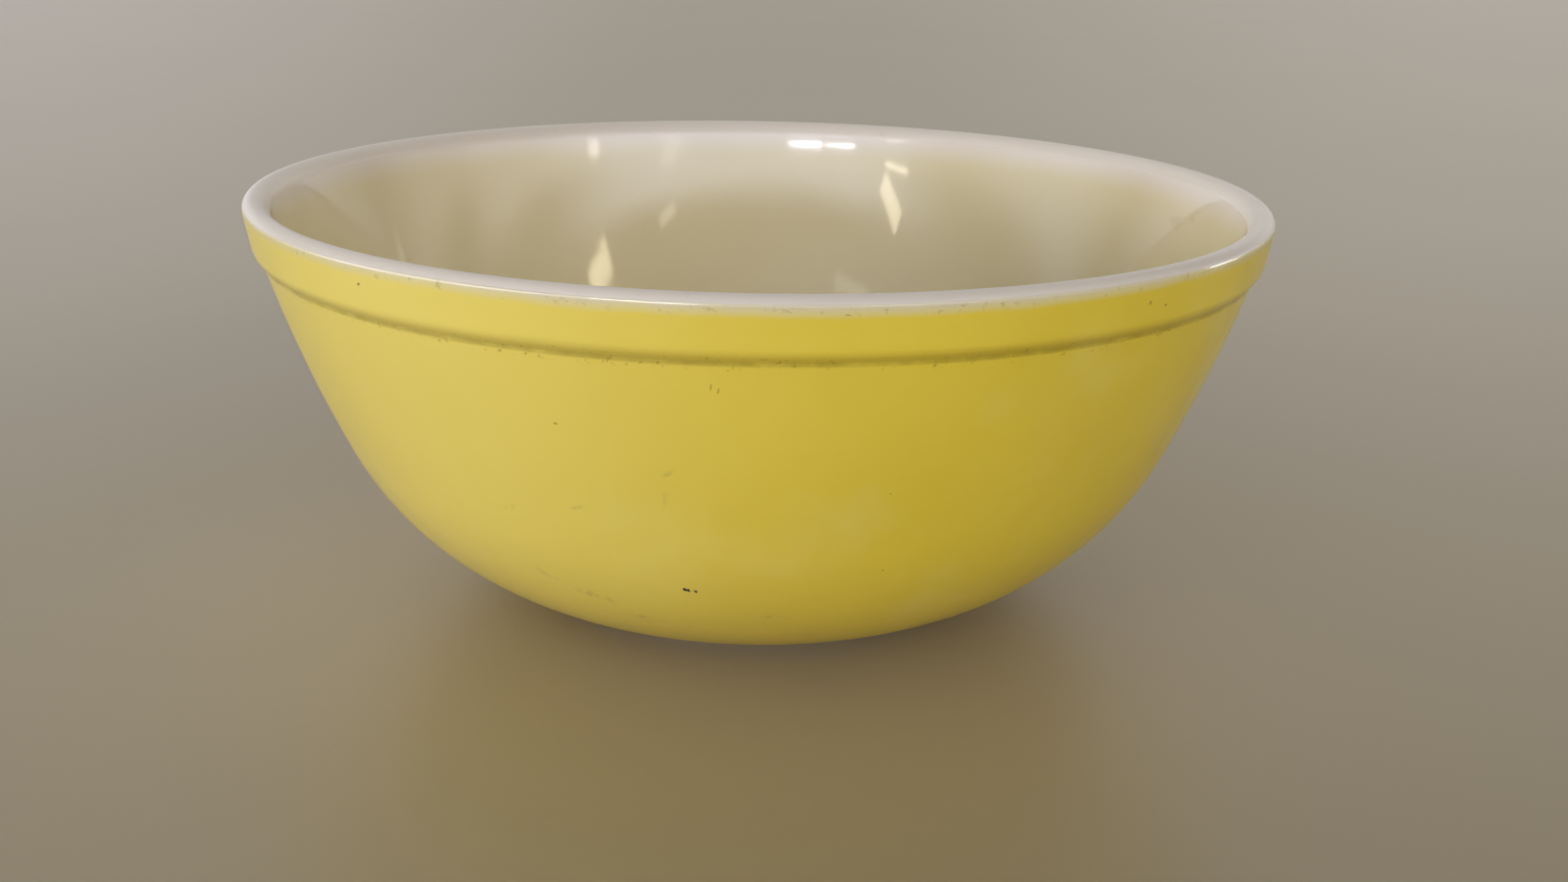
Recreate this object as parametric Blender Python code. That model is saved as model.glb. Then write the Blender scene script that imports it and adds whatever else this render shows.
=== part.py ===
"""Large pressed-glass mixing bowl: a white opal glass body with a yellow enamel coat fired onto its outside.

Metres, +Z up. The origin is on the bowl's axis, in the plane of the ring that it stands on.
"""

from math import asin, atan2, cos, degrees, hypot, pi, radians, sin

import bmesh
import bpy
from mathutils import Vector
from mathutils.geometry import interpolate_bezier

# The lip and the plain band below it. A drop is measured down from the top of the lip.
HEIGHT = 0.110
RIM_RADIUS = 0.133
RIM_DROP = 0.0025
LIP_PEAK_RADIUS = 0.1306
LIP_INNER_DROP = 0.0034
BAND_FOOT_RADIUS = 0.1314
BAND_FOOT_DROP = 0.0112

# The step under the band, then the wall and the belly. Slopes are in degrees from vertical.
STEP_ROUND = 0.0040
STEP_CHAMFER = 0.0011
STEP_SLOPE = 48.0
CREASE_ROUND = 0.0012
WALL_TOP_SLOPE = 16.5
WALL_ROUND = 0.3253
BELLY_TOP_SLOPE = 25.6
BELLY_ROUND = 0.0813
HEEL_SLOPE = 78.5
WALL_THICKNESS = 0.0056

# The ring that the bowl stands on, and the shallow recess inside it.
FOOT_RADIUS = 0.0505
FOOT_WIDTH = 0.0050
FOOT_ROUND = 0.0010
RECESS_DEPTH = 0.0010

# The coat lies in a shallow rebate of the glass, so its face is flush with the bare lip.
COAT_THICKNESS = 0.0003
FIT_GAP = 0.0003
COAT_TOP_DROP = 0.0032
COAT_END_SLOPE = 76.0

SEGMENTS = 60
WELD = 0.00001
HANDLE_SHARE = 0.39
SHARP_ANGLE = 35.0

OPAL_WHITE = (0.78, 0.76, 0.70, 1.0)
ENAMEL_YELLOW = (0.72, 0.58, 0.10, 1.0)


class Pen:
    """Draws half of a round outline as (radius, height) points.

    A heading of 0 runs outwards, 90 runs straight up and -90 straight down.
    """

    def __init__(self, radius, height, heading):
        self.heading = heading
        self.points = [(radius, height)]

    def line(self, length):
        radius, height = self.points[-1]
        angle = radians(self.heading)
        self.points.append((radius + length * cos(angle), height + length * sin(angle)))

    def arc(self, rounding, heading, steps):
        """Turns to a new heading along an arc, and returns the arc's centre."""
        side = rounding if heading > self.heading else -rounding
        radius, height = self.points[-1]
        start = radians(self.heading)
        centre = (radius - side * sin(start), height + side * cos(start))
        for step in range(1, steps + 1):
            angle = start + (radians(heading) - start) * step / steps
            self.points.append((centre[0] + side * sin(angle), centre[1] - side * cos(angle)))
        self.heading = heading
        return centre


def rounded(start, start_heading, end, end_heading, steps):
    """Points of a rounded corner from one place and heading to another, without the first place."""
    reach = HANDLE_SHARE * hypot(end[0] - start[0], end[1] - start[1])
    first, last = Vector(start), Vector(end)
    leaving = first + reach * Vector((cos(radians(start_heading)), sin(radians(start_heading))))
    arriving = last - reach * Vector((cos(radians(end_heading)), sin(radians(end_heading))))
    curve = interpolate_bezier(first, leaving, arriving, last, steps + 1)
    return [tuple(point) for point in curve[1:]]


def sunk(outline, depth):
    """The same outline, drawn from top to bottom, moved into the wall by a depth."""
    moved = []
    for index, point in enumerate(outline):
        before = Vector(outline[max(index - 1, 0)])
        after = Vector(outline[min(index + 1, len(outline) - 1)])
        along = (after - before).normalized()
        moved.append((point[0] + along.y * depth, point[1] - along.x * depth))
    return moved


def outside():
    """The outside from the lip's widest point to the heel: bare band, rebate for the coat, bare heel.

    The centres of the wall's and the belly's long arcs come with them.
    """
    band_heading = -90.0 - degrees(atan2(RIM_RADIUS - BAND_FOOT_RADIUS, BAND_FOOT_DROP - RIM_DROP))
    per_drop = -1.0 / sin(radians(band_heading))
    pen = Pen(RIM_RADIUS, HEIGHT - RIM_DROP, band_heading)
    pen.line((COAT_TOP_DROP - FIT_GAP - RIM_DROP) * per_drop)
    rebate_start = len(pen.points) - 1
    pen.line(FIT_GAP * per_drop)
    pen.line((BAND_FOOT_DROP - COAT_TOP_DROP) * per_drop)
    pen.arc(STEP_ROUND, -90.0 - STEP_SLOPE, 3)
    pen.line(STEP_CHAMFER)
    pen.arc(CREASE_ROUND, -90.0 - WALL_TOP_SLOPE, 2)
    wall_centre = pen.arc(WALL_ROUND, -90.0 - BELLY_TOP_SLOPE, 5)
    belly_centre = pen.arc(BELLY_ROUND, -90.0 - COAT_END_SLOPE, 8)
    pen.arc(BELLY_ROUND, -90.0 - COAT_END_SLOPE - degrees(FIT_GAP / BELLY_ROUND), 1)
    rebate_end = len(pen.points) - 1
    pen.arc(BELLY_ROUND, -90.0 - HEEL_SLOPE, 2)
    band = pen.points[: rebate_start + 1]
    rebate = pen.points[rebate_start : rebate_end + 1]
    heel = pen.points[rebate_end:]
    return band, rebate, heel, wall_centre, belly_centre


def inside(wall_centre, belly_centre):
    """The inside from the middle of the floor up to the foot of the lip, and its last heading."""
    belly_round = BELLY_ROUND - WALL_THICKNESS
    wall_round = WALL_ROUND - WALL_THICKNESS
    top_slope = degrees(asin((wall_centre[1] - HEIGHT + LIP_INNER_DROP) / wall_round))
    pen = Pen(0.0, belly_centre[1] - belly_round, 0.0)
    pen.line(belly_centre[0])
    pen.arc(belly_round, 90.0 - BELLY_TOP_SLOPE, 9)
    pen.arc(wall_round, 90.0 - top_slope, 5)
    return pen.points, pen.heading


def lip(inner_top, inner_heading, band):
    """The rounded lip, from the top of the inner wall over its peak to the widest point."""
    peak = (LIP_PEAK_RADIUS, HEIGHT)
    down_band = degrees(atan2(band[1][1] - band[0][1], band[1][0] - band[0][0]))
    return rounded(inner_top, inner_heading, peak, 0.0, 5) + rounded(peak, 0.0, band[0], down_band, 5)


def foot(heel_end):
    """The standing ring and the recess inside it, down to the axis."""
    side = (FOOT_RADIUS, FOOT_ROUND)
    outer_edge = (FOOT_RADIUS - FOOT_ROUND, 0.0)
    inner_edge = (FOOT_RADIUS - FOOT_WIDTH, 0.0)
    recess_edge = (inner_edge[0] - 2 * RECESS_DEPTH, RECESS_DEPTH)
    outline = rounded(heel_end, -90.0 - HEEL_SLOPE, side, -100.0, 3)
    outline += rounded(side, -100.0, outer_edge, -180.0, 3)
    outline += [inner_edge, recess_edge, (0.0, RECESS_DEPTH)]
    return outline


def material(name, colour, roughness, ior):
    finish = bpy.data.materials.new(name)
    finish.use_nodes = True
    shader = finish.node_tree.nodes["Principled BSDF"]
    shader.inputs["Base Color"].default_value = colour
    shader.inputs["Roughness"].default_value = roughness
    shader.inputs["Metallic"].default_value = 0.0
    shader.inputs["IOR"].default_value = ior
    finish.diffuse_color = colour
    return finish


def turned(name, outline, closed, finish, parent):
    """A body turned about the axis from half of its outline, which runs down the outer side."""
    mesh = bpy.data.meshes.new(name)
    work = bmesh.new()
    points = [work.verts.new((radius, 0.0, height)) for radius, height in outline]
    ends = points[1:] + (points[:1] if closed else [])
    edges = [work.edges.new(pair) for pair in zip(points, ends)]
    sweep = {"cent": (0, 0, 0), "axis": (0, 0, 1), "angle": 2 * pi, "steps": SEGMENTS}
    bmesh.ops.spin(work, geom=points + edges, use_merge=True, **sweep)
    bmesh.ops.remove_doubles(work, verts=work.verts, dist=WELD)
    bmesh.ops.recalc_face_normals(work, faces=work.faces)
    work.to_mesh(mesh)
    work.free()
    mesh.shade_smooth()
    mesh.set_sharp_from_angle(angle=radians(SHARP_ANGLE))
    mesh.materials.append(finish)
    body = bpy.data.objects.new(name, mesh)
    body.parent = parent
    bpy.context.scene.collection.objects.link(body)
    return body


def main():
    for old in list(bpy.data.objects):
        bpy.data.objects.remove(old, do_unlink=True)

    bowl = bpy.data.objects.new("mixing_bowl", None)
    bpy.context.scene.collection.objects.link(bowl)

    band, rebate, heel, wall_centre, belly_centre = outside()
    inner, inner_heading = inside(wall_centre, belly_centre)
    seat = sunk(rebate, COAT_THICKNESS + FIT_GAP)
    glass = inner + lip(inner[-1], inner_heading, band) + band[1:] + seat + heel + foot(heel[-1])
    turned("glass_bowl", glass, False, material("opal_glass", OPAL_WHITE, 0.12, 1.5), bowl)

    coat_face = rebate[1:-1]
    coat = coat_face + sunk(coat_face, COAT_THICKNESS)[::-1]
    turned("enamel_coat", coat, True, material("yellow_enamel", ENAMEL_YELLOW, 0.25, 1.5), bowl)


main()
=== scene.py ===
from math import asin, atan2, cos, degrees, hypot, pi, radians, sin, tan

import bmesh
import bpy
from mathutils import Euler, Matrix, Vector
from mathutils.geometry import interpolate_bezier


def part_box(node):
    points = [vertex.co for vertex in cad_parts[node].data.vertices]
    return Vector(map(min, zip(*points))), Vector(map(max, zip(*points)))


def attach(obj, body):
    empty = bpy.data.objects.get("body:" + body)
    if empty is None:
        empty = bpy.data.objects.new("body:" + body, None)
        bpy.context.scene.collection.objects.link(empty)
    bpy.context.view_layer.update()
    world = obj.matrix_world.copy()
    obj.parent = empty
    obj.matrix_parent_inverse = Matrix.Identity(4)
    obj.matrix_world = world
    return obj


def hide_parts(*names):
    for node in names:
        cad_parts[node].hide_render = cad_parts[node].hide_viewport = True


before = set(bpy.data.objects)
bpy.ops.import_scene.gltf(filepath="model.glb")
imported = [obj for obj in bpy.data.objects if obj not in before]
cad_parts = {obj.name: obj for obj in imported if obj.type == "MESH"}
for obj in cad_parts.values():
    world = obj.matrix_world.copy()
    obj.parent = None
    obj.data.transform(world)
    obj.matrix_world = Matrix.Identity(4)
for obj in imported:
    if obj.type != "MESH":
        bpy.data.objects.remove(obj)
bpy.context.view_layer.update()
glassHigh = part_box("glass_bowl")[1]
rimHeight = glassHigh.z
rimRadius = glassHigh.x

# the pressed outside, in metres and in degrees from vertical; a drop is measured down from the top of the lip
bowlShape = {
    "rimDrop": 0.0025,
    "lipPeakRadius": rimRadius - 0.0024,
    "lipInnerDrop": 0.0034,
    "bandFootRadius": rimRadius - 0.0016,
    "bandFootDrop": 0.0112,
    "stepRound": 0.0040,
    "stepChamfer": 0.0011,
    "stepSlope": 48.0,
    "creaseRound": 0.0012,
    "wallTopSlope": 16.5,
    "wallRound": 0.3253,
    "bellyTopSlope": 25.6,
    "bellyRound": 0.0813,
    "heelSlope": 78.5,
    "wallThickness": 0.0056,
    "footRadius": 0.0505,
    "footWidth": 0.0050,
    "footRound": 0.0010,
    "recessDepth": 0.0010,
    "valveRadius": 0.0210,      # faint ring that the press valve leaves under the bowl
    "valveWidth": 0.0010,
    "valveDepth": 0.00015,
}

# the fired coat, in metres: it fades out over the feather at its upper and lower edge
coatShape = {
    "thickness": 0.00008,
    "gap": 0.00001,
    "topDrop": 0.0014,
    "feather": 0.0020,
    "endSlope": 76.0,
}

# how finely both bodies are turned, and the soft ripples that pressing leaves
turning = {
    "turns": 384,
    "lipInnerSteps": 16,
    "lipOuterSteps": 20,
    "longStep": 0.0030,
    "fineStep": 0.00045,
    "weldDistance": 0.000001,
    "cornerReach": 0.39,        # how far a rounded corner pulls on its two ends, as a share of their distance
    "rippleDepth": 0.00012,
    "rippleScale": 26.0,
    "seed": 3.0,
}


def startPath(radius, height, heading):
    return {"points": [(radius, height)], "heading": heading}


# a heading of 0 runs outwards, 90 straight up and -90 straight down
def goStraight(path, length, step):
    radius, height = path["points"][-1]
    angle = radians(path["heading"])
    count = max(1, round(length / step))
    for index in range(1, count + 1):
        run = length * index / count
        path["points"].append((radius + run * cos(angle), height + run * sin(angle)))


def goRound(path, rounding, heading, step):
    side = rounding if heading > path["heading"] else -rounding
    radius, height = path["points"][-1]
    start = radians(path["heading"])
    centre = (radius - side * sin(start), height + side * cos(start))
    sweep = radians(heading) - start
    count = max(2, round(abs(sweep) * rounding / step))
    for index in range(1, count + 1):
        angle = start + sweep * index / count
        path["points"].append((centre[0] + side * sin(angle), centre[1] - side * cos(angle)))
    path["heading"] = heading
    return centre


def roundedCorner(start, startHeading, end, endHeading, count):
    reach = turning["cornerReach"] * hypot(end[0] - start[0], end[1] - start[1])
    first, last = Vector(start), Vector(end)
    leaving = first + reach * Vector((cos(radians(startHeading)), sin(radians(startHeading))))
    arriving = last - reach * Vector((cos(radians(endHeading)), sin(radians(endHeading))))
    curve = interpolate_bezier(first, leaving, arriving, last, count + 1)
    return [tuple(point) for point in curve[1:]]


# moves an outline, drawn up the inside and down the outside, into the wall by a depth for each point
def sinkOutline(outline, depths):
    sunk = []
    for index, point in enumerate(outline):
        before = Vector(outline[max(index - 1, 0)])
        after = Vector(outline[min(index + 1, len(outline) - 1)])
        along = (after - before).normalized()
        sunk.append((point[0] + along.y * depths[index], point[1] - along.x * depths[index]))
    return sunk


def runLengths(outline):
    runs = [0.0]
    for before, after in zip(outline, outline[1:]):
        runs.append(runs[-1] + hypot(after[0] - before[0], after[1] - before[1]))
    return runs


def easeShare(share):
    share = min(1.0, max(0.0, share))
    return share * share * (3.0 - 2.0 * share)


def outsideOutline():
    shape, fine, long = bowlShape, turning["fineStep"], turning["longStep"]
    bandDrop = shape["bandFootDrop"] - shape["rimDrop"]
    bandHeading = -90.0 - degrees(atan2(rimRadius - shape["bandFootRadius"], bandDrop))
    path = startPath(rimRadius, rimHeight - shape["rimDrop"], bandHeading)
    goStraight(path, bandDrop / -sin(radians(bandHeading)), fine)
    goRound(path, shape["stepRound"], -90.0 - shape["stepSlope"], fine)
    goStraight(path, shape["stepChamfer"], fine)
    goRound(path, shape["creaseRound"], -90.0 - shape["wallTopSlope"], fine / 2)
    wallCentre = goRound(path, shape["wallRound"], -90.0 - shape["bellyTopSlope"], long)
    bellyCentre = goRound(path, shape["bellyRound"], -90.0 - coatShape["endSlope"], long)
    coatEnd = len(path["points"]) - 1
    goRound(path, shape["bellyRound"], -90.0 - shape["heelSlope"], long / 2)
    return path["points"], coatEnd, wallCentre, bellyCentre, bandHeading


def insideOutline(wallCentre, bellyCentre):
    long = turning["longStep"]
    bellyRound = bowlShape["bellyRound"] - bowlShape["wallThickness"]
    wallRound = bowlShape["wallRound"] - bowlShape["wallThickness"]
    topSlope = degrees(asin((wallCentre[1] - rimHeight + bowlShape["lipInnerDrop"]) / wallRound))
    path = startPath(0.0, bellyCentre[1] - bellyRound, 0.0)
    goStraight(path, bellyCentre[0], long)
    goRound(path, bellyRound, 90.0 - bowlShape["bellyTopSlope"], long)
    goRound(path, wallRound, 90.0 - topSlope, long)
    return path["points"], path["heading"]


def footOutline(heelEnd):
    shape = bowlShape
    recess = shape["recessDepth"]
    outerEdge = (shape["footRadius"] - shape["footRound"], 0.0)
    innerEdge = (shape["footRadius"] - shape["footWidth"], 0.0)
    stops = [
        ((shape["footRadius"], shape["footRound"]), -90.0 - shape["heelSlope"], -100.0, 8),
        (outerEdge, -100.0, -180.0, 8),
        (innerEdge, -180.0, -180.0, 4),
        ((innerEdge[0] - 2 * recess, recess), -180.0, -180.0, 12),
        ((shape["valveRadius"] + shape["valveWidth"], recess), -180.0, -180.0, 8),
        ((shape["valveRadius"], recess + shape["valveDepth"]), -180.0, -180.0, 5),
        ((shape["valveRadius"] - shape["valveWidth"], recess), -180.0, -180.0, 5),
        ((0.0, recess), -180.0, -180.0, 8),
    ]
    outline, start = [], heelEnd
    for end, leaving, arriving, count in stops:
        outline += roundedCorner(start, leaving, end, arriving, count)
        start = end
    return outline


# the half outlines of both bodies: the glass is let in by the coat's thickness, and the coat fades out at its
# ends
def bodyOutlines():
    outer, coatEnd, wallCentre, bellyCentre, bandHeading = outsideOutline()
    inner, innerHeading = insideOutline(wallCentre, bellyCentre)
    peak = (bowlShape["lipPeakRadius"], rimHeight)
    lip = roundedCorner(inner[-1], innerHeading, peak, 0.0, turning["lipInnerSteps"])
    lip += roundedCorner(peak, 0.0, outer[0], bandHeading, turning["lipOuterSteps"])
    whole = inner + lip + outer[1:]
    last = len(inner) + len(lip) - 1 + coatEnd
    first = len(inner) + turning["lipInnerSteps"]
    while whole[first][1] > rimHeight - coatShape["topDrop"]:
        first += 1
    runs = runLengths(whole)
    thickness, feather = coatShape["thickness"], coatShape["feather"]
    glassDepths, faceDepths = [], []
    for run in runs:
        beyond = max(runs[first] - run, run - runs[last], 0.0)
        within = min(run - runs[first], runs[last] - run)
        glassDepths.append(thickness * (1.0 - easeShare(beyond / feather)))
        faceDepths.append((thickness - 2 * coatShape["gap"]) * (1.0 - easeShare(within / feather)))
    upper = sinkOutline(whole, glassDepths)
    face = sinkOutline(whole, faceDepths)[first:last + 1]
    back = sinkOutline(whole, [thickness - coatShape["gap"]] * len(whole))[first:last + 1]
    return upper + footOutline(upper[-1]), face + back[::-1] + face[:1]


def addNode(tree, kind, **settings):
    node = tree.nodes.new(kind)
    for name, value in settings.items():
        setattr(node, name, value)
    return node


def feed(tree, socket, value):
    if isinstance(value, bpy.types.NodeSocket):
        tree.links.new(value, socket)
    else:
        socket.default_value = value


def sums(tree, operation, *values):
    node = addNode(tree, "ShaderNodeMath", operation=operation)
    for socket, value in zip(node.inputs, values):
        feed(tree, socket, value)
    return node.outputs[0]


def vectorSums(tree, operation, *values):
    node = addNode(tree, "ShaderNodeVectorMath", operation=operation)
    for socket, value in zip(node.inputs, values):
        feed(tree, socket, value)
    return node.outputs["Value" if operation in ("LENGTH", "DOT_PRODUCT") else "Vector"]


# turns a half outline round the upright axis, maps it for baking and ripples it
def turningTree(name):
    tree = bpy.data.node_groups.new(name, "GeometryNodeTree")
    for label, kind in (("Outline", "Geometry"), ("Turns", "Int"), ("Ripple Depth", "Float"),
                        ("Ripple Scale", "Float"), ("Seed", "Float"), ("Finish", "Material")):
        tree.interface.new_socket(label, in_out="INPUT", socket_type="NodeSocket" + kind)
    tree.interface.new_socket("Body", in_out="OUTPUT", socket_type="NodeSocketGeometry")
    link = tree.links.new
    given = addNode(tree, "NodeGroupInput").outputs
    result = addNode(tree, "NodeGroupOutput")

    count = addNode(tree, "GeometryNodeAttributeDomainSize", component="MESH")
    link(given["Outline"], count.inputs["Geometry"])
    rows = count.outputs["Point Count"]
    columns = addNode(tree, "FunctionNodeIntegerMath", operation="ADD")
    link(given["Turns"], columns.inputs[0])
    columns.inputs[1].default_value = 1
    grid = addNode(tree, "GeometryNodeMeshGrid")
    link(columns.outputs[0], grid.inputs["Vertices X"])
    link(rows, grid.inputs["Vertices Y"])

    index = addNode(tree, "GeometryNodeInputIndex")
    row = addNode(tree, "FunctionNodeIntegerMath", operation="MODULO")
    column = addNode(tree, "FunctionNodeIntegerMath", operation="DIVIDE_FLOOR")
    for node in (row, column):
        link(index.outputs[0], node.inputs[0])
        link(rows, node.inputs[1])
    share = sums(tree, "DIVIDE", column.outputs[0], given["Turns"])

    run = addNode(tree, "GeometryNodeInputNamedAttribute", data_type="FLOAT")
    run.inputs["Name"].default_value = "outlineRun"
    sources = {"FLOAT_VECTOR": addNode(tree, "GeometryNodeInputPosition").outputs[0], "FLOAT": run.outputs[0]}
    readings = {}
    for kind, source in sources.items():
        reader = addNode(tree, "GeometryNodeSampleIndex", data_type=kind, domain="POINT")
        link(given["Outline"], reader.inputs["Geometry"])
        link(source, reader.inputs["Value"])
        link(row.outputs[0], reader.inputs["Index"])
        readings[kind] = reader.outputs["Value"]

    swing = addNode(tree, "ShaderNodeVectorRotate", rotation_type="Z_AXIS")
    link(readings["FLOAT_VECTOR"], swing.inputs["Vector"])
    link(sums(tree, "MULTIPLY", share, 2 * pi), swing.inputs["Angle"])
    turned = addNode(tree, "GeometryNodeSetPosition")
    link(grid.outputs["Mesh"], turned.inputs["Geometry"])
    link(swing.outputs[0], turned.inputs["Position"])

    flat = addNode(tree, "ShaderNodeCombineXYZ")
    link(share, flat.inputs["X"])
    link(readings["FLOAT"], flat.inputs["Y"])
    mapped = addNode(tree, "GeometryNodeStoreNamedAttribute", data_type="FLOAT2", domain="CORNER")
    mapped.inputs["Name"].default_value = "OFBake"
    link(turned.outputs["Geometry"], mapped.inputs["Geometry"])
    link(flat.outputs[0], mapped.inputs["Value"])
    welded = addNode(tree, "GeometryNodeMergeByDistance")
    welded.inputs["Distance"].default_value = turning["weldDistance"]
    link(mapped.outputs["Geometry"], welded.inputs["Geometry"])

    # ripples pull the wall towards the axis only, both faces alike, so the body keeps to its size
    place = addNode(tree, "GeometryNodeInputPosition").outputs[0]
    ripple = addNode(tree, "ShaderNodeTexNoise", noise_dimensions="4D")
    link(place, ripple.inputs["Vector"])
    link(given["Ripple Scale"], ripple.inputs["Scale"])
    link(given["Seed"], ripple.inputs["W"])
    ripple.inputs["Detail"].default_value = 1.0
    inwards = vectorSums(tree, "NORMALIZE", vectorSums(tree, "MULTIPLY", place, (-1.0, -1.0, 0.0)))
    pull = addNode(tree, "ShaderNodeVectorMath", operation="SCALE")
    link(inwards, pull.inputs[0])
    link(sums(tree, "MULTIPLY", ripple.outputs[0], given["Ripple Depth"]), pull.inputs["Scale"])
    rippled = addNode(tree, "GeometryNodeSetPosition")
    link(welded.outputs["Geometry"], rippled.inputs["Geometry"])
    link(pull.outputs[0], rippled.inputs["Offset"])

    smooth = addNode(tree, "GeometryNodeSetShadeSmooth")
    link(rippled.outputs["Geometry"], smooth.inputs["Geometry"])
    real = addNode(tree, "GeometryNodeRealizeInstances")
    link(smooth.outputs["Geometry"], real.inputs["Geometry"])
    finished = addNode(tree, "GeometryNodeSetMaterial")
    link(real.outputs["Geometry"], finished.inputs["Geometry"])
    link(given["Finish"], finished.inputs["Material"])
    link(finished.outputs["Geometry"], result.inputs["Body"])
    return tree


def turnBody(name, outline, finish):
    wire = bpy.data.meshes.new(name + "Outline")
    wire.from_pydata([(radius, 0.0, height) for radius, height in outline], [], [])
    runs = runLengths(outline)
    shares = wire.attributes.new("outlineRun", "FLOAT", "POINT")
    shares.data.foreach_set("value", [run / runs[-1] for run in runs])
    guide = bpy.data.objects.new(name + "Guide", wire)
    bpy.context.scene.collection.objects.link(guide)
    modifier = guide.modifiers.new("turning", "NODES")
    modifier.node_group = turningTree(name + "Turning")
    values = {"Turns": turning["turns"], "Ripple Depth": turning["rippleDepth"],
              "Ripple Scale": turning["rippleScale"], "Seed": turning["seed"], "Finish": finish}
    for item in modifier.node_group.interface.items_tree:
        if item.in_out == "INPUT" and item.name in values:
            modifier[item.identifier] = values[item.name]
    evaluated = guide.evaluated_get(bpy.context.evaluated_depsgraph_get())
    mesh = bpy.data.meshes.new_from_object(evaluated)
    guide.modifiers.remove(modifier)
    bpy.data.objects.remove(guide)
    mesh.name = name
    work = bmesh.new()
    work.from_mesh(mesh)
    bmesh.ops.recalc_face_normals(work, faces=work.faces)
    work.to_mesh(mesh)
    work.free()
    body = bpy.data.objects.new(name, mesh)
    bpy.context.scene.collection.objects.link(body)
    print(name, "turned:", len(mesh.polygons), "faces")
    return body


# colours are linear, sizes in metres, and drops are measured down from the top of the lip
coatLook = {
    "yellow": (0.86, 0.655, 0.060, 1.0),
    "deepYellow": (0.82, 0.62, 0.048, 1.0),
    # painted light: a paler yellow for the left-hand side, where the window light falls
    "litSideYellow": (0.865, 0.70, 0.155, 1.0),
    "haze": (0.88, 0.74, 0.19, 1.0),
    "thinEdge": (0.80, 0.68, 0.27, 1.0),
    "bareWhite": (0.72, 0.635, 0.45, 1.0),
    # the dark of grime and pits, also used for the crease line, which is partly painted crease shade
    "darkening": (0.25, 0.17, 0.012, 1.0),
    "scuff": (0.40, 0.33, 0.10, 1.0),
    "chip": (0.045, 0.03, 0.015, 1.0),
    "edgeDropNear": 0.0029,      # the coat's upper edge hangs lower at the near side than at the sides
    "edgeDropSide": 0.0017,
    "edgeFade": 0.0009,
    "edgeWander": 0.0007,
    "creaseDrop": 0.0148,
    # painted shade: the width of the crease line, which is partly old grime and partly painted shade
    "creaseDirtAndShadeWidth": 0.0006,
    "creaseSpeckle": 0.0022,
    "heelHeight": 0.030,
    # painted shade: how strongly the crease line of grime and painted shade shows
    "creaseDirtAndShadeShare": (0.18, 0.52),
    "speckleNearness": (0.3, 0.95),  # 1 at the near side and 0 at the sides
    "speckleShare": (0.2, 0.8),
    "hazeShare": 0.5,
    "edgeSpeckleShare": 0.3,
    "scuffShare": 0.55,
    "heelShare": 0.45,
    "pitShare": 0.75,
    "pinholeShare": 0.7,
    "pinholeScale": 62.0,
    "pinholeReach": (0.022, 0.010),
    # painted light: where the paler left-hand yellow begins and where it is full
    "litSideAcross": (0.30, -0.72),    # from the axis, as a share of the rim's radius, right is positive
    "shinyAcross": (-0.60, -0.30),
    "shinyDrops": (0.0040, 0.0022),
    "scuffRag": (120.0, 0.006),      # how finely and how far the edges of the marks are pushed about
    "chipRag": (1500.0, 0.0009),
    "roughness": (0.19, 0.27),
    "wornRoughness": 0.06,
    "chipRoughness": 0.5,
    "edgeShine": 0.12,
    "orangePeel": 0.000003,
    "waviness": 0.00002,
    "chipDepth": 0.00012,
}

# the coat's clouds: patches in a metre, detail, start and, where it is not the usual one, roughness
coatClouds = {
    "mottle": (15.0, 5.0, 1.0),
    "haze": (21.0, 3.0, 4.0),
    "edgeWander": (70.0, 5.0, 2.0, 0.6),
    "slowWander": (12.0, 2.0, 5.0),
    # breaks up the crease line of grime and painted shade
    "patchyCreaseDirtAndShade": (90.0, 5.0, 6.0, 0.7),
    "flecks": (620.0, 4.0, 7.0, 0.7),
    "grain": (260.0, 5.0, 8.0, 0.7),
    "heel": (55.0, 6.0, 10.0, 0.7),
    "gloss": (31.0, 2.0, 12.0),
    "orangePeel": (420.0, 1.0, 13.0),
    "waviness": (48.0, 0.0, 14.0),
}

# how much of each cloud shows, from nothing at the first value to all of it at the second
coatRanges = {
    "mottle": (0.34, 0.66),
    "haze": (0.50, 0.78),
    "patchyCreaseDirtAndShade": (0.30, 0.65),
    "flecks": (0.57, 0.68),
    "grain": (0.40, 0.68),
    "heel": (0.46, 0.75),
    "gloss": (0.25, 0.75),
}

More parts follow.
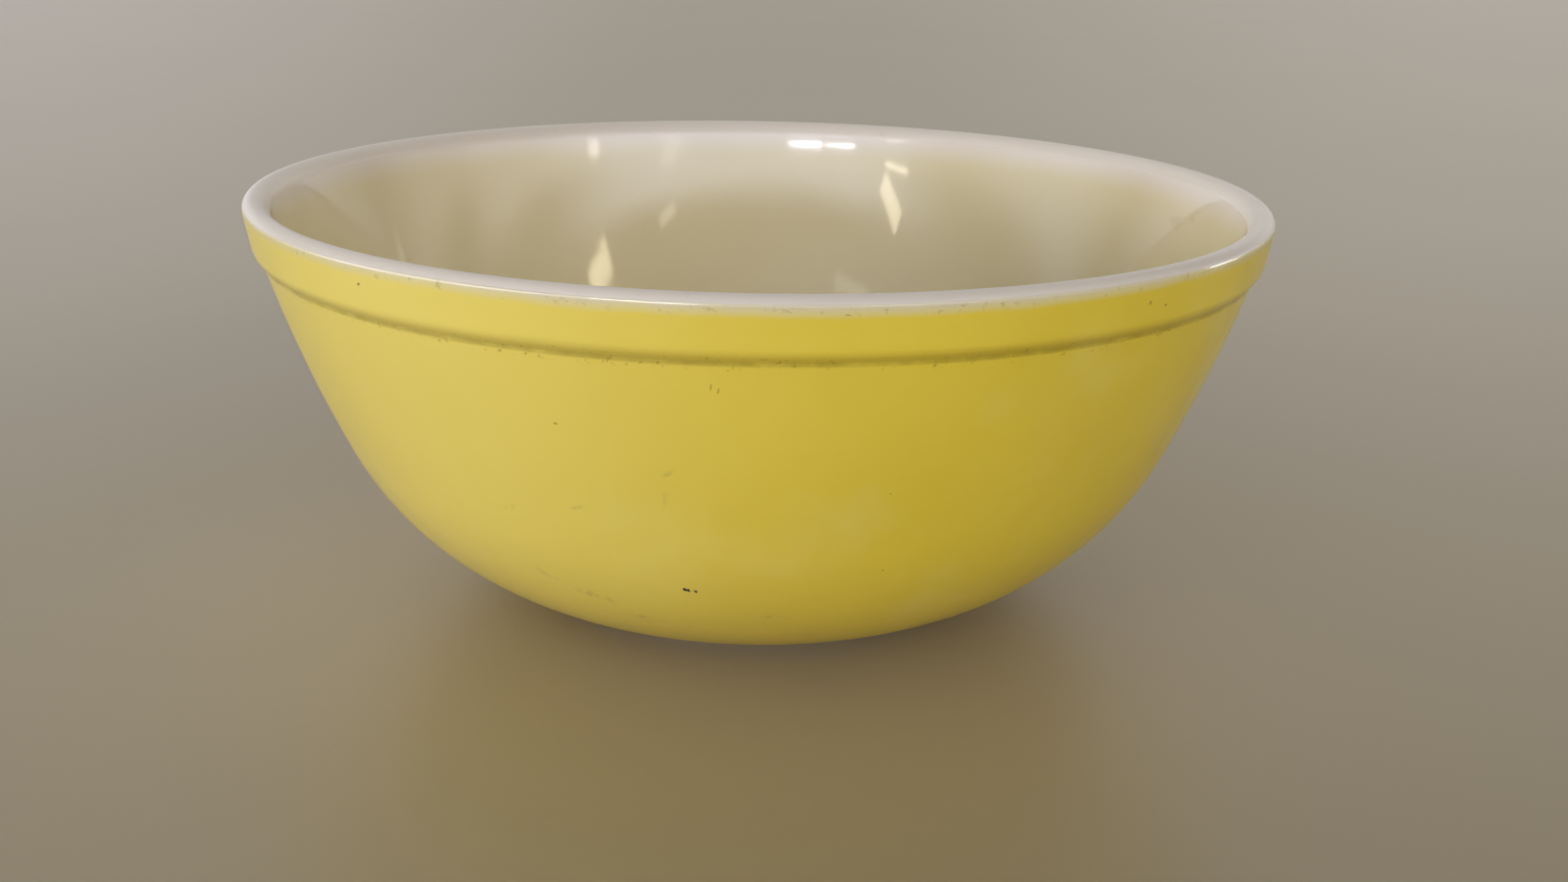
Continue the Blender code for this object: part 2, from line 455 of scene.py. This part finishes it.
# marks in the coat: degrees round from the near side, height, half length, half width, tilt in degrees
coatMarks = {
    "chips": [(-8.6, 0.0357, 0.00078, 0.00054, 10.0), (-8.2, 0.0354, 0.00052, 0.00062, -30.0),
              (-7.3, 0.0353, 0.00058, 0.00046, 25.0), (-40.0, 0.1039, 0.00055, 0.00038, -20.0),
              (104.0, 0.0610, 0.00060, 0.00045, 15.0), (-131.0, 0.0420, 0.00050, 0.00040, 0.0),
              (162.0, 0.1020, 0.00070, 0.00040, 5.0)],
    "pits": [(-20.0, 0.0782, 0.00050, 0.00035, 0.0), (39.1, 0.1032, 0.00050, 0.00050, 0.0),
             (41.5, 0.1019, 0.00055, 0.00060, 20.0), (7.6, 0.1062, 0.00090, 0.00022, -5.0),
             (-4.3, 0.0897, 0.00020, 0.00110, 8.0), (-3.6, 0.0890, 0.00018, 0.00090, 12.0),
             (72.0, 0.0850, 0.00045, 0.00040, 0.0), (-96.0, 0.0700, 0.00050, 0.00030, 30.0),
             (141.0, 0.0560, 0.00045, 0.00045, 0.0), (-158.0, 0.0910, 0.00020, 0.00120, -15.0)],
    "scuffs": [(-28.6, 0.0535, 0.0040, 0.0012, -6.0), (-19.6, 0.0572, 0.0032, 0.0009, -22.0),
               (-8.6, 0.0690, 0.0042, 0.0008, -24.0), (-9.6, 0.0615, 0.0012, 0.0046, 8.0),
               (-22.0, 0.0300, 0.0095, 0.0022, 30.0), (-15.5, 0.0225, 0.0080, 0.0018, 24.0),
               (-27.0, 0.0330, 0.0070, 0.0016, 35.0), (3.0, 0.0262, 0.0060, 0.0013, 4.0),
               (88.0, 0.0470, 0.0060, 0.0011, 18.0), (124.0, 0.0300, 0.0080, 0.0018, -12.0),
               (-70.0, 0.0360, 0.0075, 0.0016, 22.0), (-118.0, 0.0640, 0.0040, 0.0010, -8.0),
               (178.0, 0.0380, 0.0065, 0.0014, 10.0)],
}


def startFinish(name, **settings):
    finish = bpy.data.materials.new(name)
    finish.use_nodes = True
    tree = finish.node_tree
    tree.nodes.clear()
    surface = addNode(tree, "ShaderNodeBsdfPrincipled")
    output = addNode(tree, "ShaderNodeOutputMaterial")
    tree.links.new(surface.outputs["BSDF"], output.inputs["Surface"])
    for label, value in settings.items():
        surface.inputs[label.replace("_", " ")].default_value = value
    place = addNode(tree, "ShaderNodeTexCoord").outputs["Object"]
    axes = addNode(tree, "ShaderNodeSeparateXYZ")
    feed(tree, axes.inputs[0], place)
    return finish, tree, surface, place, axes.outputs


# every pattern has its own start, so that no two of them repeat each other
def cloud(tree, place, scale, detail, start, roughness=0.55):
    noise = addNode(tree, "ShaderNodeTexNoise")
    feed(tree, noise.inputs["Vector"], vectorSums(tree, "ADD", place, (start, -start, start / 2)))
    for label, value in (("Scale", scale), ("Detail", detail), ("Roughness", roughness)):
        noise.inputs[label].default_value = value
    return noise.outputs[0]


# eases a value from one range into another, and holds it at both ends
def ease(tree, value, low, high, lowResult=0.0, highResult=1.0):
    node = addNode(tree, "ShaderNodeMapRange", interpolation_type="SMOOTHSTEP")
    for label, given in (("Value", value), ("From Min", low), ("From Max", high),
                         ("To Min", lowResult), ("To Max", highResult)):
        feed(tree, node.inputs[label], given)
    return node.outputs[0]


def tint(tree, share, below, above):
    node = addNode(tree, "ShaderNodeMix", data_type="RGBA")
    feed(tree, node.inputs[0], share)
    feed(tree, node.inputs[6], below)
    feed(tree, node.inputs[7], above)
    return node.outputs[2]


def both(tree, first, second):
    return sums(tree, "MULTIPLY", first, second)


# heights in metres, added up and handed to the surface as relief
def relief(tree, surface, layers):
    height = 0.0
    for share, depth in layers:
        height = sums(tree, "MULTIPLY_ADD", share, depth, height)
    node = addNode(tree, "ShaderNodeBump")
    node.inputs["Distance"].default_value = 1.0
    feed(tree, node.inputs["Height"], height)
    feed(tree, surface.inputs["Normal"], node.outputs[0])


# pushes the pattern's place about, so that marks get ragged edges
def raggedPlace(tree, place, scale, reach):
    noise = addNode(tree, "ShaderNodeTexNoise")
    feed(tree, noise.inputs["Vector"], place)
    noise.inputs["Scale"].default_value = scale
    noise.inputs["Detail"].default_value = 1.0
    centred = vectorSums(tree, "SUBTRACT", noise.outputs[1], (0.5, 0.5, 0.5))
    return vectorSums(tree, "MULTIPLY_ADD", centred, (reach, reach, reach), place)


def radiusAt(outline, height):
    for lower, upper in zip(outline[1:], outline):
        if lower[1] <= height <= upper[1] and upper[1] > lower[1]:
            share = (height - lower[1]) / (upper[1] - lower[1])
            return lower[0] + (upper[0] - lower[0]) * share
    return rimRadius


markDepth = 0.004
markSoftness = {"chips": 0.45, "pits": 0.6, "scuffs": 0.9, "stains": 0.95}


# 1 inside any of the marks, easing to 0 at their edges; a mark reaches a short way into the wall
def markShare(tree, place, marks, outline, soft):
    share = 0.0
    for turn, height, halfLength, halfWidth, tilt in marks:
        radius, angle = radiusAt(outline, height), radians(turn)
        spot = addNode(tree, "ShaderNodeMapping", vector_type="TEXTURE")
        feed(tree, spot.inputs["Vector"], place)
        spot.inputs["Location"].default_value = (radius * sin(angle), -radius * cos(angle), height)
        spot.inputs["Rotation"].default_value = (0.0, radians(tilt), angle)
        spot.inputs["Scale"].default_value = (halfLength, markDepth, halfWidth)
        distance = vectorSums(tree, "LENGTH", spot.outputs[0])
        share = sums(tree, "MAXIMUM", share, ease(tree, distance, 1.0 - soft, 1.0, 1.0, 0.0))
    return share


def yellowEnamel(outline):
    look, clouds, ranges = coatLook, coatClouds, coatRanges
    finish, tree, surface, place, axes = startFinish("yellowEnamel", IOR=1.5)
    drop = sums(tree, "SUBTRACT", rimHeight, axes["Z"])
    nearness = sums(tree, "DIVIDE", axes["Y"], -rimRadius)

    mottle = ease(tree, cloud(tree, place, *clouds["mottle"]), *ranges["mottle"])
    colour = tint(tree, mottle, look["deepYellow"], look["yellow"])
    across = sums(tree, "DIVIDE", axes["X"], rimRadius)
    # painted light: the left-hand side is painted paler, where the window light falls
    litSidePaler = ease(tree, across, *look["litSideAcross"])
    colour = tint(tree, litSidePaler, colour, look["litSideYellow"])
    haze = ease(tree, cloud(tree, place, *clouds["haze"]), *ranges["haze"])
    haze = both(tree, haze, look["hazeShare"])
    colour = tint(tree, haze, colour, look["haze"])

    # the sprayed upper edge thins out over the white glass and wanders
    wander = sums(tree, "SUBTRACT", cloud(tree, place, *clouds["edgeWander"]), 0.5)
    slowWander = sums(tree, "SUBTRACT", cloud(tree, place, *clouds["slowWander"]), 0.5)
    edge = ease(tree, nearness, 0.0, 1.0, look["edgeDropSide"], look["edgeDropNear"])
    edge = sums(tree, "MULTIPLY_ADD", wander, look["edgeWander"] * 2, edge)
    edge = sums(tree, "MULTIPLY_ADD", slowWander, look["edgeWander"] * 2, edge)
    below = sums(tree, "SUBTRACT", drop, edge)
    fade = look["edgeFade"]
    colour = tint(tree, ease(tree, below, 0.0, 2 * fade), look["thinEdge"], colour)
    colour = tint(tree, ease(tree, below, -1.8 * fade, 0.5 * fade), look["bareWhite"], colour)

    # the crease under the band: a line of old grime and painted crease shade, and specks thickest at the near
    # side
    fromCrease = sums(tree, "ABSOLUTE", sums(tree, "SUBTRACT", drop, look["creaseDrop"]))
    patchy = cloud(tree, place, *clouds["patchyCreaseDirtAndShade"])
    # painted shade: a dark line along the crease, partly old grime and partly the crease's shade painted in
    creaseDirtAndShade = both(tree, ease(tree, fromCrease, look["creaseDirtAndShadeWidth"] * 1.6, look["creaseDirtAndShadeWidth"] * 0.3),
                ease(tree, patchy, *ranges["patchyCreaseDirtAndShade"], *look["creaseDirtAndShadeShare"]))
    flecks = ease(tree, cloud(tree, place, *clouds["flecks"]), *ranges["flecks"])
    speckle = both(tree, both(tree, flecks, ease(tree, fromCrease, look["creaseSpeckle"], 0.0004)),
                   ease(tree, nearness, *look["speckleNearness"], *look["speckleShare"]))
    nearEdge = ease(tree, sums(tree, "ABSOLUTE", below), 0.0016, 0.0003)
    edgeSpeckle = both(tree, both(tree, flecks, nearEdge), look["edgeSpeckleShare"])
    darkening = sums(tree, "MAXIMUM", creaseDirtAndShade, sums(tree, "MAXIMUM", speckle, edgeSpeckle))
    colour = tint(tree, darkening, colour, look["darkening"])

    # handling marks, broken up by a fine grain
    grain = ease(tree, cloud(tree, place, *clouds["grain"]), *ranges["grain"])
    smeared = raggedPlace(tree, place, *look["scuffRag"])
    scuffs = both(tree, markShare(tree, smeared, coatMarks["scuffs"], outline, markSoftness["scuffs"]), grain)
    heel = both(tree, ease(tree, axes["Z"], look["heelHeight"], 0.006),
                ease(tree, cloud(tree, place, *clouds["heel"]), *ranges["heel"]))
    worn = sums(tree, "MAXIMUM", both(tree, scuffs, look["scuffShare"]), both(tree, heel, look["heelShare"]))
    colour = tint(tree, worn, colour, look["scuff"])

    # pinholes strewn all over, and the listed marks
    strewn = addNode(tree, "ShaderNodeTexVoronoi", feature="F1")
    feed(tree, strewn.inputs["Vector"], place)
    strewn.inputs["Scale"].default_value = look["pinholeScale"]
    pinholes = ease(tree, strewn.outputs["Distance"], *look["pinholeReach"])
    pinholes = both(tree, pinholes, look["pinholeShare"])
    ragged = raggedPlace(tree, place, *look["chipRag"])
    pits = markShare(tree, ragged, coatMarks["pits"], outline, markSoftness["pits"])
    pits = sums(tree, "MAXIMUM", pinholes, both(tree, pits, look["pitShare"]))
    colour = tint(tree, pits, colour, look["darkening"])
    chips = markShare(tree, ragged, coatMarks["chips"], outline, markSoftness["chips"])
    colour = tint(tree, chips, colour, look["chip"])
    feed(tree, surface.inputs["Base Color"], colour)

    gloss = ease(tree, cloud(tree, place, *clouds["gloss"]), *ranges["gloss"], *look["roughness"])
    gloss = sums(tree, "MULTIPLY_ADD", sums(tree, "MAXIMUM", worn, darkening), look["wornRoughness"], gloss)
    gloss = sums(tree, "MULTIPLY_ADD", chips, look["chipRoughness"], gloss)
    glossyEdge = both(tree, ease(tree, drop, *look["shinyDrops"]), ease(tree, across, *look["shinyAcross"]))
    gloss = sums(tree, "MULTIPLY_ADD", glossyEdge, -look["edgeShine"], gloss)
    feed(tree, surface.inputs["Roughness"], gloss)
    relief(tree, surface, [(cloud(tree, place, *clouds["orangePeel"]), look["orangePeel"]),
                           (cloud(tree, place, *clouds["waviness"]), look["waviness"]),
                           (chips, -look["chipDepth"])])
    return finish


# the bare opal glass: white at the lip and the foot, creamy where the coat shows through from behind
glassLook = {
    "white": (0.73, 0.65, 0.53, 1.0),
    "cream": (0.67, 0.57, 0.315, 1.0),
    "paleCream": (0.69, 0.595, 0.34, 1.0),
    "stain": (0.42, 0.28, 0.12, 1.0),
    "utensilGrey": (0.44, 0.42, 0.38, 1.0),
    "lipGrime": (0.50, 0.43, 0.34, 1.0),
    "showStart": 0.0020,
    "showEnd": 0.0110,
    "footHeight": 0.004,
    "sweep": (900.0, 1.6, 700.0),    # how closely the rubs lie outwards, round and upwards
    "rubTop": (0.050, 0.012),
    "rubFoot": (0.004, 0.006),
    "rubShare": 0.5,
    "stainShare": 0.28,
    "lipDrops": (0.0050, 0.0026),
    "lipShare": 0.35,
    "footHeights": (0.0012, 0.0004),
    "footShare": 0.7,
    "wornDrops": (0.0042, 0.0028),
    "stainRag": (180.0, 0.005),
    "roughness": (0.035, 0.085),
    "lipWear": 0.26,            # how much rougher the lip is than the wall
    "rubRoughness": 0.35,
    "rubDepth": 0.000006,
    "orangePeel": 0.0000015,
    "waviness": 0.000016,
}

# the glass's clouds, written as the coat's are, but the arcs lie in the swept place and not in metres
glassClouds = {
    "milky": (11.0, 4.0, 21.0),
    "arcs": (1.0, 2.0, 22.0),
    "rubbed": (40.0, 4.0, 23.0),
    "lipDirt": (130.0, 6.0, 25.0, 0.7),
    "footWear": (210.0, 5.0, 26.0, 0.7),
    "gloss": (27.0, 2.0, 27.0),
    "orangePeel": (380.0, 1.0, 28.0),
    "waviness": (36.0, 0.0, 29.0),
}

glassRanges = {
    "milky": (0.35, 0.68),
    "arcs": (0.66, 0.72),
    "rubbed": (0.45, 0.62),
    "lipDirt": (0.60, 0.78),
    "footWear": (0.40, 0.62),
    "gloss": (0.25, 0.75),
}

# marks in the glass, written as the coat's are
glassMarks = {
    "stains": [(105.0, 0.0965, 0.0050, 0.0030, 10.0), (101.0, 0.0985, 0.0030, 0.0014, -20.0),
               (-152.0, 0.0700, 0.0060, 0.0022, 15.0), (30.0, 0.0450, 0.0060, 0.0030, 0.0)],
}


def opalGlass(outline):
    look, clouds, ranges = glassLook, glassClouds, glassRanges
    finish, tree, surface, place, axes = startFinish("opalGlass", IOR=1.5, Subsurface_Weight=0.12,
                                                     Subsurface_Scale=0.002)
    surface.inputs["Subsurface Radius"].default_value = (1.0, 0.85, 0.6)
    drop = sums(tree, "SUBTRACT", rimHeight, axes["Z"])
    cloudy = ease(tree, cloud(tree, place, *clouds["milky"]), *ranges["milky"])
    shown = both(tree, ease(tree, drop, look["showStart"], look["showEnd"]),
                 ease(tree, axes["Z"], look["footHeight"], look["footHeight"] + 0.001))
    milky = tint(tree, cloudy, look["cream"], look["paleCream"])
    colour = tint(tree, shown, look["white"], milky)

    # grey rubs that whisks and spoons leave, in arcs round the floor and the lower wall
    reach = vectorSums(tree, "LENGTH", vectorSums(tree, "MULTIPLY", place, (1.0, 1.0, 0.0)))
    swept = addNode(tree, "ShaderNodeCombineXYZ")
    turned = sums(tree, "ARCTAN2", axes["Y"], axes["X"])
    for socket, value, closeness in zip(swept.inputs, (reach, turned, axes["Z"]), look["sweep"]):
        feed(tree, socket, both(tree, value, closeness))
    arcs = both(tree, ease(tree, cloud(tree, swept.outputs[0], *clouds["arcs"]), *ranges["arcs"]),
                ease(tree, cloud(tree, place, *clouds["rubbed"]), *ranges["rubbed"]))
    low = both(tree, ease(tree, axes["Z"], *look["rubTop"]), ease(tree, axes["Z"], *look["rubFoot"]))
    rubs = both(tree, arcs, low)
    colour = tint(tree, both(tree, rubs, look["rubShare"]), colour, look["utensilGrey"])

    stained = raggedPlace(tree, place, *look["stainRag"])
    stains = markShare(tree, stained, glassMarks["stains"], outline[::-1], markSoftness["stains"])
    colour = tint(tree, both(tree, stains, look["stainShare"]), colour, look["stain"])
    lipDirt = both(tree, ease(tree, drop, *look["lipDrops"]),
                   ease(tree, cloud(tree, place, *clouds["lipDirt"]), *ranges["lipDirt"]))
    footWear = both(tree, ease(tree, axes["Z"], *look["footHeights"]),
                    ease(tree, cloud(tree, place, *clouds["footWear"]), *ranges["footWear"]))
    lipDirt = both(tree, lipDirt, look["lipShare"])
    darkening = sums(tree, "MAXIMUM", lipDirt, both(tree, footWear, look["footShare"]))
    colour = tint(tree, darkening, colour, look["lipGrime"])
    feed(tree, surface.inputs["Base Color"], colour)

    gloss = ease(tree, cloud(tree, place, *clouds["gloss"]), *ranges["gloss"], *look["roughness"])
    gloss = sums(tree, "MULTIPLY_ADD", sums(tree, "MAXIMUM", rubs, darkening), look["rubRoughness"], gloss)
    gloss = sums(tree, "MULTIPLY_ADD", ease(tree, drop, *look["wornDrops"]), look["lipWear"], gloss)
    feed(tree, surface.inputs["Roughness"], gloss)
    relief(tree, surface, [(cloud(tree, place, *clouds["orangePeel"]), look["orangePeel"]),
                           (cloud(tree, place, *clouds["waviness"]), look["waviness"]),
                           (rubs, -look["rubDepth"])])
    return finish


floorLook = {
    "low": (0.362, 0.297, 0.174, 1.0),
    "high": (0.395, 0.328, 0.198, 1.0),
    "mottle": (5.0, 5.0, 31.0),
    "grain": (900.0, 1.0, 32.0),
    "grainHeight": 0.00002,
    "halfWidth": 4.0,
}


def paleFloor():
    look = floorLook
    finish, tree, surface, place = startFinish("paleFloor", Roughness=0.36)[:4]
    colour = tint(tree, cloud(tree, place, *look["mottle"]), look["low"], look["high"])
    feed(tree, surface.inputs["Base Color"], colour)
    relief(tree, surface, [(cloud(tree, place, *look["grain"]), look["grainHeight"])])
    return finish


print("turning the bowl and its coat")
glassOutline, coatOutline = bodyOutlines()
opalBowl = turnBody("opalBowl", glassOutline, opalGlass(glassOutline))
yellowCoat = turnBody("yellowCoat", coatOutline, yellowEnamel(coatOutline))

floorMesh = bpy.data.meshes.new("paleFloor")
half = floorLook["halfWidth"]
corners = [(-half, -half, 0), (half, -half, 0), (half, half, 0), (-half, half, 0)]
floorMesh.from_pydata(corners, [], [(0, 1, 2, 3)])
floorMesh.materials.append(paleFloor())
floor = bpy.data.objects.new("paleFloor", floorMesh)
bpy.context.scene.collection.objects.link(floor)

# azimuth 0 is the near side and 90 the right-hand side, all in degrees; each glow is one soft stretch of
# wall, window or ceiling, from low to high above the floor and to either side of its azimuth
glows = {
    "leftWindow": {"azimuth": -74.0, "side": 26.0, "low": -4.0, "high": 8.5, "soft": 5.0, "fade": 18.0,
                   "light": (8.4, 8.5, 9.3)},
    "nearWall": {"azimuth": 4.0, "side": 42.0, "low": 16.0, "high": 26.6, "soft": 2.2, "fade": 24.0,
                 "light": (3.9, 4.05, 5.0)},
    "nearRightWall": {"azimuth": 56.0, "side": 20.0, "low": 15.0, "high": 21.4, "soft": 2.0, "fade": 20.0,
                      "light": (2.7, 2.65, 2.7)},
    "rightWall": {"azimuth": 86.0, "side": 18.0, "low": 10.0, "high": 16.8, "soft": 2.0, "fade": 18.0,
                  "light": (1.5, 1.45, 1.4)},
    "nearLow": {"azimuth": 0.0, "side": 60.0, "low": 6.0, "high": 16.0, "soft": 5.0, "fade": 30.0,
                "light": (0.8, 0.78, 0.76)},
    "nearLeftWall": {"azimuth": -72.0, "side": 26.0, "low": 11.0, "high": 20.0, "soft": 2.5, "fade": 18.0,
                     "light": (1.4, 1.5, 1.9)},
    "farWall": {"azimuth": 180.0, "side": 40.0, "low": 4.0, "high": 26.0, "soft": 8.0, "fade": 20.0,
                "light": (0.7, 0.68, 0.66)},
    "farLeftWall": {"azimuth": -142.0, "side": 18.0, "low": -4.0, "high": 12.0, "soft": 5.0, "fade": 18.0,
                    "light": (0.8, 0.8, 0.92)},
    "farRightWall": {"azimuth": 142.0, "side": 18.0, "low": -4.0, "high": 14.0, "soft": 5.0, "fade": 18.0,
                     "light": (0.55, 0.53, 0.53)},
    "rightCeiling": {"azimuth": 85.0, "side": 30.0, "low": 26.0, "high": 56.0, "soft": 8.0, "fade": 20.0,
                     "light": (0.30, 0.27, 0.22)},
    "leftCeiling": {"azimuth": -40.0, "side": 30.0, "low": 30.0, "high": 56.0, "soft": 6.0, "fade": 20.0,
                    "light": (0.50, 0.50, 0.53)},
    "farCeiling": {"azimuth": -165.0, "side": 40.0, "low": 26.0, "high": 56.0, "soft": 8.0, "fade": 20.0,
                   "light": (0.70, 0.68, 0.66)},
}
ambient = (0.12, 0.115, 0.11)

# lamps are crisp and only glint; each hangs far off and looks at the middle of the mouth: its azimuth and
# elevation, how wide and high it looks from there, how far it is turned, all in degrees, and how bright it is
lamps = {
    "nearTubeRight": (-12.1, 22.6, 8.6, 0.45, 0.0, (34.0, 34.0, 38.0)),
    "nearTubeLeft": (-22.1, 22.1, 8.2, 0.45, 0.0, (34.0, 34.0, 38.0)),
    "rightSpot": (48.7, 21.1, 2.8, 0.32, 0.0, (26.0, 24.0, 21.0)),
    "nearSpot": (24.2, 22.1, 4.4, 0.35, 0.0, (14.0, 14.0, 15.0)),
    "nearSpotWarm": (27.2, 23.4, 4.6, 0.35, 0.0, (7.0, 6.6, 5.6)),
    "leftStrip": (-39.8, 22.8, 6.6, 0.45, 0.0, (14.0, 12.6, 9.4)),
    "leftPanel": (-39.8, 25.9, 7.2, 2.1, -25.0, (9.0, 8.0, 5.6)),
    "rightPanel": (53.9, 29.9, 7.4, 3.0, 12.0, (10.0, 8.8, 6.0)),
    "nearPanel": (29.0, 28.2, 5.0, 1.2, 12.0, (3.2, 3.0, 2.3)),
    "highPanel": (-32.0, 34.0, 10.0, 1.6, 0.0, (2.0, 1.8, 1.5)),
    "farRightSpot": (120.0, 12.6, 2.4, 0.9, 0.0, (1.3, 1.2, 1.0)),
    "nearLowStrip": (-23.0, 7.0, 22.0, 2.2, 0.0, (60.0, 58.0, 54.0)),
    "nearRightLowStrip": (31.0, 7.0, 28.0, 1.5, 0.0, (12.0, 11.6, 11.0)),
    "rightLowStrip": (114.0, 2.0, 12.0, 2.0, 0.0, (60.0, 59.0, 56.0)),
}
lampDistance = 6.0


def towards(azimuth, elevation):
    turn, rise = radians(azimuth), radians(elevation)
    return Vector((sin(turn) * cos(rise), -cos(turn) * cos(rise), sin(rise)))


def softRoom():
    world = bpy.data.worlds.new("softRoom")
    world.use_nodes = True
    tree = world.node_tree
    outlook = addNode(tree, "ShaderNodeTexCoord").outputs["Generated"]
    axes = addNode(tree, "ShaderNodeSeparateXYZ")
    feed(tree, axes.inputs[0], outlook)
    level = vectorSums(tree, "NORMALIZE", vectorSums(tree, "MULTIPLY", outlook, (1.0, 1.0, 0.0)))
    light = ambient
    for glow in glows.values():
        low, high, soft, side, fade = [glow[key] for key in ("low", "high", "soft", "side", "fade")]
        rise = ease(tree, axes.outputs["Z"], sin(radians(low - soft)), sin(radians(low + soft)))
        fall = ease(tree, axes.outputs["Z"], sin(radians(high + soft)), sin(radians(high - soft)))
        facing = vectorSums(tree, "DOT_PRODUCT", level, towards(glow["azimuth"], 0.0))
        across = ease(tree, facing, cos(radians(side + fade)), cos(radians(side - fade)))
        share = both(tree, both(tree, rise, fall), across)
        spread = addNode(tree, "ShaderNodeVectorMath", operation="SCALE")
        spread.inputs[0].default_value = glow["light"]
        feed(tree, spread.inputs["Scale"], share)
        light = vectorSums(tree, "ADD", spread.outputs[0], light)
    feed(tree, tree.nodes["Background"].inputs["Color"], light)
    bpy.context.scene.world = world


def hangLamp(name, azimuth, elevation, wide, high, tilt, brightness):
    light = bpy.data.lights.new(name, "AREA")
    light.shape = "RECTANGLE"
    light.size = 2 * lampDistance * tan(radians(wide / 2))
    light.size_y = 2 * lampDistance * tan(radians(high / 2))
    light.color = [part / max(brightness) for part in brightness]
    light.energy = max(brightness) * pi * light.size * light.size_y
    hung = bpy.data.objects.new(name, light)
    away = towards(azimuth, elevation)
    aim = away.to_track_quat("Z", "Y").to_matrix() @ Matrix.Rotation(radians(tilt), 3, "Z")
    place = Vector((0.0, 0.0, rimHeight)) + away * lampDistance
    hung.matrix_world = Matrix.Translation(place) @ aim.to_4x4()
    hung.visible_diffuse = False
    bpy.context.scene.collection.objects.link(hung)


print("lighting the room and hanging", len(lamps), "lamps")
softRoom()
for name, lamp in lamps.items():
    hangLamp(name, *lamp)
bpy.context.scene.view_settings.view_transform = "Standard"

# angles in radians, lens and sensor in millimetres
eye = {
    "place": (0.0, -0.4688, 0.1871),
    "pitch": 0.307,
    "yaw": 0.016,
    "roll": 0.0215,
    "lens": 40.5,
    "sensor": 36.0,
}
cameraData = bpy.data.cameras.new("eye")
cameraData.lens = eye["lens"]
cameraData.sensor_width = eye["sensor"]
camera = bpy.data.objects.new("eye", cameraData)
aim = Euler((pi / 2 - eye["pitch"], 0.0, -eye["yaw"])).to_matrix() @ Matrix.Rotation(eye["roll"], 3, "Z")
camera.matrix_world = Matrix.Translation(eye["place"]) @ aim.to_4x4()
bpy.context.scene.collection.objects.link(camera)
bpy.context.scene.camera = camera

print("handing the pieces to the frame")
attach(opalBowl, "root")
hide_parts("glass_bowl")
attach(yellowCoat, "root")
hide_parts("enamel_coat")
